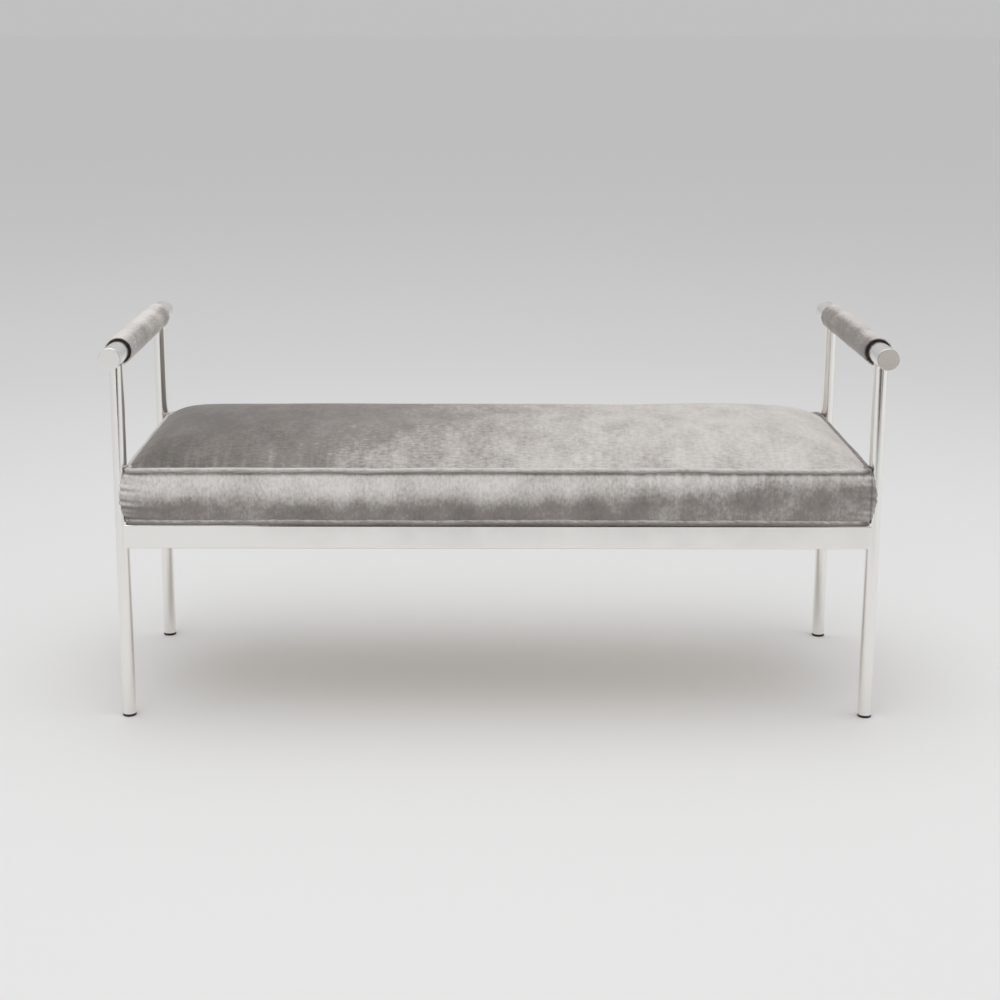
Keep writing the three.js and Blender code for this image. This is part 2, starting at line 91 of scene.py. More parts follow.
def nickel_plate():
    """Nickel plate on buffed steel: a warm white metal, mirror-like, with faint haze and marks.
    Real buffing marks are hundredths of a millimetre wide, and are drawn coarser to show."""
    haze_size, buffing_size = 0.06, 0.0015
    material, tree, shader = new_material("nickel_plate")
    place = add_node(tree, "ShaderNodeTexCoord").outputs["Object"]
    haze = add_node(tree, "ShaderNodeTexNoise", values={"Scale": 1 / haze_size, "Detail": 4},
                    links={"Vector": place})
    buffing = add_node(tree, "ShaderNodeTexNoise", values={"Scale": 1 / buffing_size, "Detail": 2},
                       links={"Vector": place})
    rough = add_node(tree, "ShaderNodeMapRange", links={"Value": haze.outputs["Fac"]},
                     values={"From Min": 0.3, "From Max": 0.7, "To Min": 0.1, "To Max": 0.17})
    bump = add_node(tree, "ShaderNodeBump", values={"Strength": 0.02, "Distance": 0.0001},
                    links={"Height": buffing.outputs["Fac"]})
    shader.inputs["Base Color"].default_value = linear("#f4f2ef")
    shader.inputs["Metallic"].default_value = 1
    tree.links.new(rough.outputs["Result"], shader.inputs["Roughness"])
    tree.links.new(bump.outputs["Normal"], shader.inputs["Normal"])
    return material


def grid_faces(rows, columns, rows_close=False, columns_close=True):
    """Corner numbers of the quads of a grid of points, each joined to the next row and column."""
    r = np.arange(rows if rows_close else rows - 1)[:, None]
    c = np.arange(columns if columns_close else columns - 1)[None, :]
    r2 = (r + 1) % rows
    c2 = (c + 1) % columns
    quads = [r * columns + c, r * columns + c2, r2 * columns + c2, r2 * columns + c]
    return np.stack(np.broadcast_arrays(*quads), -1).reshape(-1, 4)


def tube_faces(points):
    """Quads of rings that run along a tube's outside and back inside it, closed both ways."""
    return grid_faces(*points.shape[:2], rows_close=True)


def new_piece(name, points, faces, material, body, replaced, sharp=35):
    """A mesh object from points and faces, facing outwards and smooth up to the sharp angle."""
    mesh = bpy.data.meshes.new(name)
    mesh.from_pydata(points.reshape(-1, 3).tolist(), [], [list(f) for f in faces])
    mesh.validate()
    corners = points.reshape(-1, 3)[np.array([f[:3] for f in faces])]
    volume = np.einsum("ij,ij->i", corners[:, 0], np.cross(corners[:, 1], corners[:, 2])).sum()
    if volume < 0:
        mesh.flip_normals()
    mesh.shade_smooth()
    mesh.set_sharp_from_angle(angle=math.radians(sharp))
    mesh.materials.append(material)
    piece = bpy.data.objects.new(name, mesh)
    bpy.context.scene.collection.objects.link(piece)
    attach(piece, body)
    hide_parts(*replaced)
    return piece


def saddle(angle, radius):
    """Height of the arm bar's underside over a leg: the bar's axis less the chord of its circle."""
    return BAR_Z - np.sqrt(BAR_RADIUS ** 2 - (radius * np.cos(angle)) ** 2)


def leg_points(x, y):
    """Rings up the outside of the tube, over its saddle-cut top and weld, and down the inside."""
    angle = np.linspace(0, 2 * np.pi, LEG_SEGMENTS, endpoint=False)
    inner = LEG_RADIUS - TUBE_WALL
    weld = LEG_RADIUS + WELD_REACH
    radii = np.array([inner, LEG_RADIUS - TUBE_EDGE, LEG_RADIUS, LEG_RADIUS, *weld, inner])[:, None]
    level_rings = (LEG_FOOT, LEG_FOOT, LEG_FOOT + TUBE_EDGE, LEG_MIDDLE)
    heights = [np.full_like(angle, z) for z in level_rings]
    heights += [saddle(angle, reach) - drop for reach, drop in zip(weld, WELD_DROP)]
    heights.append(saddle(angle, inner))
    return np.stack([x + radii * np.cos(angle), y + radii * np.sin(angle), np.array(heights)], -1)


nickel = nickel_plate()
for corner, (side_x, side_y) in CORNERS.items():
    points = leg_points(side_x * LEG_X, side_y * LEG_Y)
    new_piece(f"leg_tube_{corner}", points, tube_faces(points), nickel,
              "frame", [f"leg_{corner}"])

# Glides: black nylon plugs under the legs, moulded, with a rounded edge.
# Their stems are pressed up into the tubes.
GLIDE_MIDDLE = 0.006
GLIDE_EDGE = 0.0012
GLIDE_RIM = 0.0003
GLIDE_RIM_DROP = 0.0002
STEM_RADIUS = 0.0092
STEM_SIDE_TOP = 0.0195
STEM_TOP = 0.02
STEM_EASE = 0.0008
FLAT_KEPT = 1.3


def black_nylon():
    """Moulded nylon: near black, half matt, with a spark-eroded grain from the mould.
    The real grain is about a tenth of a millimetre, and is drawn coarser so that it shows."""
    grain_size = 0.0012
    material, tree, shader = new_material("black_nylon")
    place = add_node(tree, "ShaderNodeTexCoord").outputs["Object"]
    grain = add_node(tree, "ShaderNodeTexNoise", values={"Scale": 1 / grain_size, "Detail": 3},
                     links={"Vector": place})
    colour = add_node(tree, "ShaderNodeValToRGB", links={"Fac": grain.outputs["Fac"]},
                      stops=[(0.3, "#161616"), (0.7, "#232324")])
    bump = add_node(tree, "ShaderNodeBump", values={"Strength": 0.2, "Distance": 0.0002},
                    links={"Height": grain.outputs["Fac"]})
    tree.links.new(colour.outputs["Color"], shader.inputs["Base Color"])
    shader.inputs["Roughness"].default_value = 0.5
    tree.links.new(bump.outputs["Normal"], shader.inputs["Normal"])
    return material


def eased_edge(radius, edge):
    """Profile of a flat's rounded edge: a ring just inside it that keeps the flat even in the
    light, then a quarter circle of that edge radius from the flat to the side."""
    bend = np.linspace(0, np.pi / 2, 5)
    quarter = zip(radius - edge * (1 - np.sin(bend)), edge * (1 - np.cos(bend)))
    return [(radius - FLAT_KEPT * edge, 0.0), *quarter]


def turned(profile, segments):
    """Points of a turned piece: each [radius, height] of the profile carried round the Z axis."""
    angle = np.linspace(0, 2 * np.pi, segments, endpoint=False)
    radius, height = np.array(profile, float).T[..., None]
    return np.stack([radius * np.cos(angle), radius * np.sin(angle), height + 0 * angle], -1)


def turned_faces(points):
    """Quads between the rings, and one flat face over each end ring."""
    rings, count = points.shape[:2]
    ends = [list(range(count))[::-1], list(range((rings - 1) * count, rings * count))]
    return grid_faces(rings, count).tolist() + ends


nylon = black_nylon()
glide_profile = [(GLIDE_MIDDLE, 0.0), *eased_edge(LEG_RADIUS, GLIDE_EDGE),
                 (LEG_RADIUS, LEG_FOOT - GLIDE_RIM_DROP), (LEG_RADIUS - GLIDE_RIM, LEG_FOOT),
                 (STEM_RADIUS, LEG_FOOT), (STEM_RADIUS, STEM_SIDE_TOP),
                 (STEM_RADIUS - STEM_EASE, STEM_TOP)]
for corner, (side_x, side_y) in CORNERS.items():
    points = turned(glide_profile, LEG_SEGMENTS) + [side_x * LEG_X, side_y * LEG_Y, 0]
    new_piece(f"glide_{corner}", points, turned_faces(points), nylon,
              "frame", [f"foot_glide_{corner}"])

# Arm bars: larger nickel-plated tubes that lie front to back on the legs.
# A turned disc with an eased rim is pressed and welded into each end.
BAR_HALF = 0.243
BAR_EDGE = 0.0002
BAR_SEGMENTS = 96
CAP_MIDDLE = 0.009
CAP_THICKNESS = 0.003
CAP_RIM = 0.0009
CAP_PLAY = 0.0003
CAP_DEPTH = 0.015
SIDES = {"left": -1, "right": 1}


def laid_front_to_back(points, x, y):
    """A turned piece's points with its axis laid along +Y, moved to (x, y) at the bars' height."""
    return np.stack([x + points[..., 0], y + points[..., 2], BAR_Z - points[..., 1]], -1)


tube_half = BAR_HALF - CAP_THICKNESS
bar_inner = BAR_RADIUS - TUBE_WALL
bar_profile = [(bar_inner, -tube_half), (BAR_RADIUS - BAR_EDGE, -tube_half),
               (BAR_RADIUS, -tube_half + BAR_EDGE), (BAR_RADIUS, tube_half - BAR_EDGE),
               (BAR_RADIUS - BAR_EDGE, tube_half), (bar_inner, tube_half)]
for side, sign in SIDES.items():
    points = laid_front_to_back(turned(bar_profile, BAR_SEGMENTS), sign * LEG_X, 0)
    new_piece(f"bar_tube_{side}", points, tube_faces(points), nickel,
              "frame", [f"arm_bar_{side}"])

cap_profile = [(CAP_MIDDLE, 0.0), *eased_edge(BAR_RADIUS, CAP_RIM),
               (BAR_RADIUS, CAP_THICKNESS - BAR_EDGE), (BAR_RADIUS - BAR_EDGE, CAP_THICKNESS),
               (bar_inner - CAP_PLAY, CAP_THICKNESS), (bar_inner - CAP_PLAY, CAP_DEPTH)]
for corner, (side_x, side_y) in CORNERS.items():
    points = turned(cap_profile, BAR_SEGMENTS) * [1, 1, -side_y]
    points = laid_front_to_back(points, side_x * LEG_X, side_y * BAR_HALF)
    new_piece(f"bar_disc_{corner}", points, turned_faces(points), nickel,
              "frame", [f"bar_cap_{corner}"])

# Seat frame: four flat tubes on edge, welded between the legs and plated with them.
# Their corners are rolled, and their ends are cut round to fit the legs.
RAIL_TOP = 0.326
RAIL_HEIGHT = 0.040
RAIL_THICKNESS = 0.020
RAIL_CORNER = 0.0028
RAIL_INNER_CORNER = RAIL_CORNER - 0.001
PAST_CORNER = 0.15


def rounded_rectangle(width, height, corner, steps=7):
    """A closed outline: four quarter circles joined by straight sides, with a point just past
    the ends of each quarter so that the flats stay even in the light."""
    turn = np.linspace(0, np.pi / 2, steps)
    beside = corner * np.array([-PAST_CORNER, *np.zeros(steps), PAST_CORNER])
    turn = np.concatenate([[0], turn, [np.pi / 2]])
    angle = np.concatenate([turn + k * np.pi / 2 for k in range(4)])
    past = np.tile(beside, 4)
    centre_x = np.repeat([1, -1, -1, 1], len(turn)) * (width / 2 - corner)
    centre_y = np.repeat([1, 1, -1, -1], len(turn)) * (height / 2 - corner)
    return (centre_x + corner * np.cos(angle) - past * np.sin(angle),
            centre_y + corner * np.sin(angle) + past * np.cos(angle))


def rail_rings(half_length_at, offset):
    """Cross, height and along values of a flat tube: outside end to end, then inside back again."""
    outer = rounded_rectangle(RAIL_THICKNESS, RAIL_HEIGHT, RAIL_CORNER)
    inner = rounded_rectangle(RAIL_THICKNESS - 2 * TUBE_WALL, RAIL_HEIGHT - 2 * TUBE_WALL,
                              RAIL_INNER_CORNER)
    rings = [(*outer, -1), (*outer, 1), (*inner, 1), (*inner, -1)]
    cross = np.array([a for a, b, way in rings])
    height = np.array([b for a, b, way in rings]) + RAIL_TOP - RAIL_HEIGHT / 2
    along = np.array([way * half_length_at(a) for a, b, way in rings])
    return cross + offset, height, along


def to_leg(cross, leg_at):
    """Half length of a rail that meets a leg's round side, that far across from the leg's axis."""
    return leg_at - np.sqrt(np.maximum(LEG_RADIUS ** 2 - cross ** 2, 0))


def to_leg_and_rail(cross):
    """Half length of a side rail: to the leg's round side or the long rail's face, the nearer."""
    return np.minimum(to_leg(cross, LEG_Y), LEG_Y - RAIL_THICKNESS / 2)


for name, side in {"front": -1, "rear": 1}.items():
    cross, height, along = rail_rings(lambda c: to_leg(c, LEG_X), side * LEG_Y)
    points = np.stack([along, cross, height], -1)
    new_piece(f"long_rail_{name}", points, tube_faces(points), nickel,
              "frame", [f"rail_{name}"])
for name, side in SIDES.items():
    cross, height, along = rail_rings(to_leg_and_rail, side * LEG_X)
    points = np.stack([cross, along, height], -1)
    new_piece(f"side_rail_{name}", points, tube_faces(points), nickel,
              "frame", [f"rail_{name}"])

# Under the seat: square cross bars and corner plates of zinc-plated steel, welded to the rails.
# Pan-head screws go up through them into the deck.


def zinc_plate():
    """Bright zinc on steel: a bluish grey, half matt metal with a cloudy bloom and fine lines.
    The lines of real drawn steel are under a tenth of a millimetre, and are coarser to show."""
    bloom_size, line_width, line_length = 0.025, 0.0015, 0.05
    material, tree, shader = new_material("zinc_plate")
    place = add_node(tree, "ShaderNodeTexCoord").outputs["Object"]
    bloom = add_node(tree, "ShaderNodeTexNoise", values={"Scale": 1 / bloom_size, "Detail": 5},
                     links={"Vector": place})
    drawn = add_node(tree, "ShaderNodeMapping", links={"Vector": place},
                     values={"Scale": (1 / line_width, 1 / line_length, 1 / line_width)})
    lines = add_node(tree, "ShaderNodeTexNoise", values={"Scale": 1, "Detail": 2},
                     links={"Vector": drawn.outputs["Vector"]})
    colour = add_node(tree, "ShaderNodeValToRGB", links={"Fac": bloom.outputs["Fac"]},
                      stops=[(0.3, "#a2a7ad"), (0.7, "#c6c9cc")])
    rough = add_node(tree, "ShaderNodeMapRange", values={"To Min": 0.32, "To Max": 0.5},
                     links={"Value": bloom.outputs["Fac"]})
    bump = add_node(tree, "ShaderNodeBump", values={"Strength": 0.15, "Distance": 0.0001},
                    links={"Height": lines.outputs["Fac"]})
    shader.inputs["Metallic"].default_value = 1
    tree.links.new(colour.outputs["Color"], shader.inputs["Base Color"])
    tree.links.new(rough.outputs["Result"], shader.inputs["Roughness"])
    tree.links.new(bump.outputs["Normal"], shader.inputs["Normal"])
    return material


zinc = zinc_plate()
for name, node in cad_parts.items():
    if name.startswith(("cross_bar", "corner_plate", "deck_screw")):
        node.material_slots[0].material = zinc

# Deck: a panel of birch plywood that drops between the rails and carries the cushion.
# Its face veneer runs along the bench, and the plies show at its edges.


def birch_plywood():
    """Birch plywood: pale tan veneer with long grain, and light and dark plies on the edges.
    The grain is wider than the real one so that it shows; the plies have their real thickness."""
    grain_length, grain_width, ply_thickness = 0.12, 0.006, 0.0015
    material, tree, shader = new_material("birch_plywood")
    place = add_node(tree, "ShaderNodeTexCoord").outputs["Object"]
    along = add_node(tree, "ShaderNodeMapping", links={"Vector": place},
                     values={"Scale": (1 / grain_length, 1 / grain_width, 1 / ply_thickness)})
    grain = add_node(tree, "ShaderNodeTexNoise", links={"Vector": along.outputs["Vector"]},
                     values={"Scale": 1, "Detail": 5, "Distortion": 0.6})
    colour = add_node(tree, "ShaderNodeValToRGB", links={"Fac": grain.outputs["Fac"]},
                      stops=[(0.3, "#b8a68c"), (0.7, "#cdbfa9")])
    bump = add_node(tree, "ShaderNodeBump", values={"Strength": 0.2, "Distance": 0.0002},
                    links={"Height": grain.outputs["Fac"]})
    tree.links.new(colour.outputs["Color"], shader.inputs["Base Color"])
    shader.inputs["Roughness"].default_value = 0.62
    tree.links.new(bump.outputs["Normal"], shader.inputs["Normal"])
    return material


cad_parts["seat_deck"].material_slots[0].material = birch_plywood()

# Cushion cover: crushed velvet sewn from a top panel, a boxing strip and a bottom panel, over foam.
# It is worked out as one skin, blown up by a cloth simulation with its seams held, and closed
# underneath. It lies loose on the deck, between the legs.
SEAM_HALF_X = 0.590
SEAM_HALF_Y = 0.211
SEAM_CORNER = 0.009
SEAM_DRAW_IN = 0.003
BOTTOM_SEAM_Z = RAIL_TOP + 0.0053
TOP_SEAM_Z = BOTTOM_SEAM_Z + 0.085
COVER_BOTTOM = RAIL_TOP + 0.0006
COVER_FROM_LEG = LEG_RADIUS + 0.0012
LEG_OUTER_Y = LEG_Y + LEG_RADIUS
CROWN = 0.041
CROWN_POWER_LEFT = 22
CROWN_POWER_RIGHT = 15
CROWN_POWER_ACROSS = 4.5
BULGE = 0.005
BOTTOM_INSET = [0.97, 0.92, 0]
COLUMNS = 171
ROWS = 55
BOXING_ROWS = 28
CLOSER = 0.55


def closer_at_ends(count, share):
    """Places from -1 to 1, closer together towards both ends by that share."""
    t = np.linspace(-1, 1, count)
    return t + share * np.sin(np.pi * t) / np.pi


def rounded_plan(x, y):
    """The plan of the cushion: a rectangle whose corner squares are drawn onto quarter circles, and
    whose long sides are drawn in a little towards the middle as a parabola."""
    over_x = np.abs(x) - (SEAM_HALF_X - SEAM_CORNER)
    over_y = np.abs(y) - (SEAM_HALF_Y - SEAM_CORNER)
    corner = (over_x > 0) & (over_y > 0)
    length = np.where(corner, np.hypot(over_x, over_y), 1)
    pull = np.where(corner, np.maximum(over_x, over_y) / length - 1, 0)
    x = x + np.sign(x) * pull * np.where(corner, over_x, 0)
    y = y + np.sign(y) * pull * np.where(corner, over_y, 0)
    return x, y * (1 - SEAM_DRAW_IN / SEAM_HALF_Y * (1 - (x / SEAM_HALF_X) ** 2))


def cover_skin():
    """Top grid, boxing rings down from its border, and one ring turned in at the bottom. The crown
    is one less a power of the distance from the middle, and the boxing bulges as a parabola."""
    u, v = np.meshgrid(closer_at_ends(COLUMNS, CLOSER), closer_at_ends(ROWS, CLOSER))
    x, y = rounded_plan(u * SEAM_HALF_X, v * SEAM_HALF_Y)
    fall = np.abs(u) ** np.where(u < 0, CROWN_POWER_LEFT, CROWN_POWER_RIGHT)
    crown = CROWN * (1 - fall) * (1 - np.abs(v) ** CROWN_POWER_ACROSS)
    top = np.stack([x, y, TOP_SEAM_Z + crown], -1).reshape(-1, 3)
    number = np.arange(ROWS * COLUMNS).reshape(ROWS, COLUMNS)
    border = np.concatenate([number[0, :-1], number[:-1, -1], number[-1, :0:-1], number[:0:-1, 0]])
    edge = top[border]
    along = np.roll(edge, -1, 0) - np.roll(edge, 1, 0)
    outward = np.stack([along[:, 1], -along[:, 0]], -1)
    outward /= np.linalg.norm(outward, axis=1)[:, None]
    run = np.concatenate([[0], np.cumsum(np.linalg.norm(np.diff(edge[:, :2], axis=0), axis=1))])
    level = np.linspace(0, 1, BOXING_ROWS + 1)[1:, None]
    swell = BULGE * (1 - (2 * level - 1) ** 2)
    rings = np.stack([edge[:, 0] + swell * outward[:, 0], edge[:, 1] + swell * outward[:, 1],
                      TOP_SEAM_Z + level * (COVER_BOTTOM - TOP_SEAM_Z) + 0 * run], -1)
    inset = edge * BOTTOM_INSET + [0, 0, COVER_BOTTOM]
    points = np.concatenate([top, rings.reshape(-1, 3), inset])
    below = len(top) + np.arange((BOXING_ROWS + 1) * len(border)).reshape(-1, len(border))
    levels = np.vstack([border, below])
    step = np.roll(levels, -1, 1)
    sides = np.stack([levels[:-1], levels[1:], step[1:], step[:-1]], -1).reshape(-1, 4)
    panel = grid_faces(ROWS, COLUMNS, columns_close=False)
    return points, np.concatenate([panel, sides]), border, run


points, faces, border, run = cover_skin()
mesh = bpy.data.meshes.new("cushion_cover")
mesh.from_pydata(points.tolist(), [], faces.tolist())
cover = bpy.data.objects.new("cushion_cover", mesh)
bpy.context.scene.collection.objects.link(cover)

FILLING_PRESSURE = 4
FILLING_STEPS = 20
SWELL_LIMIT = 0.006


def blown_up(piece, rest, held):
    """Where cloth pressure takes the skin's points, up to the swell limit; the held ones stay."""
    sewn = piece.vertex_groups.new(name="sewn")
    sewn.add(held.tolist(), 1, "REPLACE")
    cloth = piece.modifiers.new("filling", "CLOTH")
    cloth.settings.quality = 5
    cloth.settings.use_pressure = True
    cloth.settings.uniform_pressure_force = FILLING_PRESSURE
    cloth.settings.vertex_group_mass = "sewn"
    cloth.settings.effector_weights.gravity = 0
    cloth.point_cache.frame_start = 1
    cloth.point_cache.frame_end = FILLING_STEPS
    for step in range(1, FILLING_STEPS + 1):
        bpy.context.scene.frame_set(step)
    done = piece.evaluated_get(bpy.context.evaluated_depsgraph_get()).to_mesh()
    moved = np.empty(len(rest) * 3, np.float32)
    done.vertices.foreach_get("co", moved)
    piece.modifiers.remove(cloth)
    piece.vertex_groups.remove(sewn)
    bpy.context.scene.frame_set(1)
    move = moved.reshape(-1, 3) - rest
    far = np.linalg.norm(move, axis=1)[:, None]
    return rest + move * np.minimum(1, SWELL_LIMIT / np.maximum(far, 1e-9))


bottom_rings = np.arange(len(points) - 2 * len(border), len(points))
points = blown_up(cover, points, np.concatenate([border, bottom_rings]))
mesh.vertices.foreach_set("co", points.astype(np.float32).ravel())
mesh.update()

CLOSING_STEP = 0.005


def add_cloth_places(mesh):
    """UV in metres along the cloth: plan on the panels, run and height on the boxing, where the
    faces that close the run get one full turn added to their start; and which faces are boxing."""
    corner = np.empty(len(mesh.loops), np.int32)
    mesh.loops.foreach_get("vertex_index", corner)
    seam_run = np.zeros(len(points))
    seam_run[border] = run
    seam_run[ROWS * COLUMNS:] = np.tile(run, BOXING_ROWS + 1)
    first = (ROWS - 1) * (COLUMNS - 1)
    last = first + BOXING_ROWS * len(border)
    places = points[corner, :2]
    strip = np.stack([seam_run[corner], points[corner, 2]], -1)
    strip = strip[4 * first:4 * last].reshape(-1, 4, 2)
    closing = (np.ptp(strip[..., 0], axis=1) > 1)[:, None] & (strip[..., 0] < 0.5)
    strip[..., 0] += closing * (run[-1] + CLOSING_STEP)
    places[4 * first:4 * last] = strip.reshape(-1, 2)
    layer = mesh.uv_layers.new(name="cloth")
    layer.uv.foreach_set("vector", places.astype(np.float32).ravel())
    face = np.arange(len(mesh.polygons))
    panel = mesh.attributes.new("boxing", "FLOAT", "FACE")
    panel.data.foreach_set("value", ((face >= first) & (face < last)).astype(np.float32))


add_cloth_places(mesh)
finer = cover.modifiers.new("finer", "SUBSURF")
finer.levels = finer.render_levels = 1
finished = cover.evaluated_get(bpy.context.evaluated_depsgraph_get())
fine_mesh = bpy.data.meshes.new_from_object(finished)
cover.modifiers.clear()
cover.data = fine_mesh
closing = bmesh.new()
closing.from_mesh(fine_mesh)
bmesh.ops.holes_fill(closing, edges=[e for e in closing.edges if e.is_boundary])
closing.to_mesh(fine_mesh)
closing.free()

GATHERS_FROM_Z = RAIL_TOP + 0.004
RIPPLE_DEPTH, RIPPLE_REACH, RIPPLE_LENGTHS = 0.0016, 0.03, [0.021, 0.029, 0.047]
TUCK_DEPTH, TUCK_REACH, TUCK_LENGTHS = 0.0017, 0.016, [0.017, 0.023, 0.041]
LOW_TUCK_SHARE, LOW_TUCK_REACH, LOW_TUCK_LENGTHS = 0.6, 0.012, [0.019, 0.031]
CREASE_DEPTH, CREASE_REACH, CREASE_LENGTHS = 0.0014, 0.016, [0.0095, 0.015]
CREASE_SLOPE = 0.1
SAG_DEPTH = 0.0022
SEWN_IN_DEPTH = 0.002
SEWN_IN_AT = 0.004
CORNER_FULLNESS = 0.010
CORNER_FULLNESS_AT_SEAMS = 0.35
CORNER_RUN = 0.05
PAST_LEG = 0.003


def smooth(low, high, value):
    """Zero below low, one above high, and an s-shaped rise between."""
    t = np.clip((value - low) / (high - low), 0, 1)
    return t * t * (3 - 2 * t)


def waves(place, lengths, seed):
    """A sum of sines of those wavelengths with fixed phases, from about -1 to 1."""
    phase = np.random.default_rng(seed).uniform(0, 2 * np.pi, len(lengths))
    return sum(np.sin(2 * np.pi * place / w + p) for w, p in zip(lengths, phase)) / len(lengths)


def read_points(mesh):
    """Points and outward directions of a mesh as arrays."""
    co = np.empty(len(mesh.vertices) * 3, np.float32)
    normal = np.empty_like(co)
    mesh.vertices.foreach_get("co", co)
    mesh.vertex_normals.foreach_get("vector", normal)
    return co.reshape(-1, 3).astype(float), normal.reshape(-1, 3).astype(float)


def boxing_height(z):
    """Share of the way up the boxing, from the bottom seam to the top one."""
    return (z - BOTTOM_SEAM_Z) / (TOP_SEAM_Z - BOTTOM_SEAM_Z)


def corner_creases(x, y, z):
    """Short creases at the upright corners, nearly level: waves up the boxing that die out with
    distance from the corner."""
    in_x = np.maximum(SEAM_HALF_X - np.abs(x), 0)
    in_y = np.maximum(SEAM_HALF_Y - np.abs(y), 0)
    to_corner = np.hypot(in_x, in_y)
    return waves(z + CREASE_SLOPE * x, CREASE_LENGTHS, 8) * np.exp(-to_corner / CREASE_REACH)


def gathered(co, normal):
    """The skin with small gathers along its outward directions: ripples and tucks that die out
    away from the seams, creases at the upright corners, a slow sag, and the boxing drawn in under
    the top welt."""
    x, y, z = co.T
    facing_up = smooth(0.3, 0.9, normal[:, 2])
    side_face = smooth(0.6, 0.2, np.abs(normal[:, 2])) * (z > GATHERS_FROM_Z)
    from_edge = np.minimum(SEAM_HALF_X - np.abs(x), SEAM_HALF_Y - np.abs(y))
    on_end = SEAM_HALF_X - np.abs(x) < SEAM_HALF_Y - np.abs(y)
    along = np.where(on_end, y, x)
    below = np.maximum(TOP_SEAM_Z - z, 0)
    above = np.maximum(z - BOTTOM_SEAM_Z, 0)
    strength = 0.6 + 0.4 * waves(along, [0.19, 0.34], 2)
    pull = strength * (1 + smooth(0.1, 0.5, x))
    near_edge = np.exp(-np.maximum(from_edge, 0) / RIPPLE_REACH)
    ripple = strength * waves(along, RIPPLE_LENGTHS, 3) * near_edge * facing_up
    tucks = pull * waves(along, TUCK_LENGTHS, 5) * np.exp(-below / TUCK_REACH) * side_face
    low_tucks = LOW_TUCK_SHARE * waves(along, LOW_TUCK_LENGTHS, 6)
    tucks += low_tucks * np.exp(-above / LOW_TUCK_REACH) * side_face
    past_leg = smooth(LEG_OUTER_Y, LEG_OUTER_Y + PAST_LEG, np.abs(y))
    creases = corner_creases(x, y, z) * side_face * past_leg
    sag = waves(x, [0.33, 0.61], 11) * waves(y + 0.3 * x, [0.21, 0.47], 12) * facing_up
    sewn_in = np.exp(-((below - SEWN_IN_AT) / SEWN_IN_AT) ** 2) * side_face
    lift = (RIPPLE_DEPTH * ripple + TUCK_DEPTH * tucks + CREASE_DEPTH * creases
            + SAG_DEPTH * sag - SEWN_IN_DEPTH * sewn_in)
    return co + lift[:, None] * normal


def full_corners(co):
    """The skin with its corners filled out sideways past the legs, most at the boxing's middle."""
    x, y, z = co.T
    height = np.clip(boxing_height(z), 0, 1)
    past_leg = smooth(LEG_OUTER_Y - PAST_LEG, LEG_OUTER_Y + PAST_LEG, np.abs(y))
    near_end = smooth(SEAM_HALF_X - CORNER_RUN, SEAM_HALF_X, np.abs(x))
    rounded = 1 - (2 * height - 1) ** 2
    share = CORNER_FULLNESS_AT_SEAMS + (1 - CORNER_FULLNESS_AT_SEAMS) * rounded
    out = CORNER_FULLNESS * share * past_leg * near_end
    return np.stack([x + np.sign(x) * out, y, z], -1)


def beside_leg(x, y, kept):
    """X drawn in so that a point stays at least that far from the axis of the leg beside it."""
    room = kept ** 2 - (np.abs(y) - LEG_Y) ** 2
    limit = np.where(room > 0, LEG_X - np.sqrt(np.maximum(room, 0)), np.inf)
    return np.sign(x) * np.minimum(np.abs(x), limit)


co, normal = read_points(fine_mesh)
co = full_corners(gathered(co, normal))
co[:, 0] = beside_leg(co[:, 0], co[:, 1], COVER_FROM_LEG)
fine_mesh.vertices.foreach_set("co", co.astype(np.float32).ravel())
fine_mesh.update()

BRUSHED_LENGTHS = [0.015, 0.023, 0.041]
TOP_DARK, TOP_SHEEN_RISE, TOP_RIGHT_SHEEN_RISE = 0.04, 0.56, 0.12
TOP_BRUSHED, TOP_BRUSHED_REACH = 0.34, 0.028
BOXING_DARK, BOXING_PAINTED_LIGHT_RISE, BOXING_RIGHT_RISE = 0.29, 0.56, 0.05
BOXING_BRUSHED, BOXING_BRUSHED_REACH = 0.85, 0.013
LIMIT, LIMIT_WAVER, LIMIT_CLIMB, LIMIT_BLUR = 0.47, 0.08, 0.34, 0.26
CREASE_PAINTED_LIGHT_LEFT, CREASE_PAINTED_LIGHT_RIGHT = 0.26, 0.1
CREVICE_SHADE, CREVICE_SHADE_BELOW, CREVICE_SHADE_WIDTH = 0.4, 0.0055, 0.0018
CORNER_SEAM_SHADE, CORNER_SEAM_OUT, CORNER_SEAM_WIDTH = 0.3, 0.0025, 0.0012


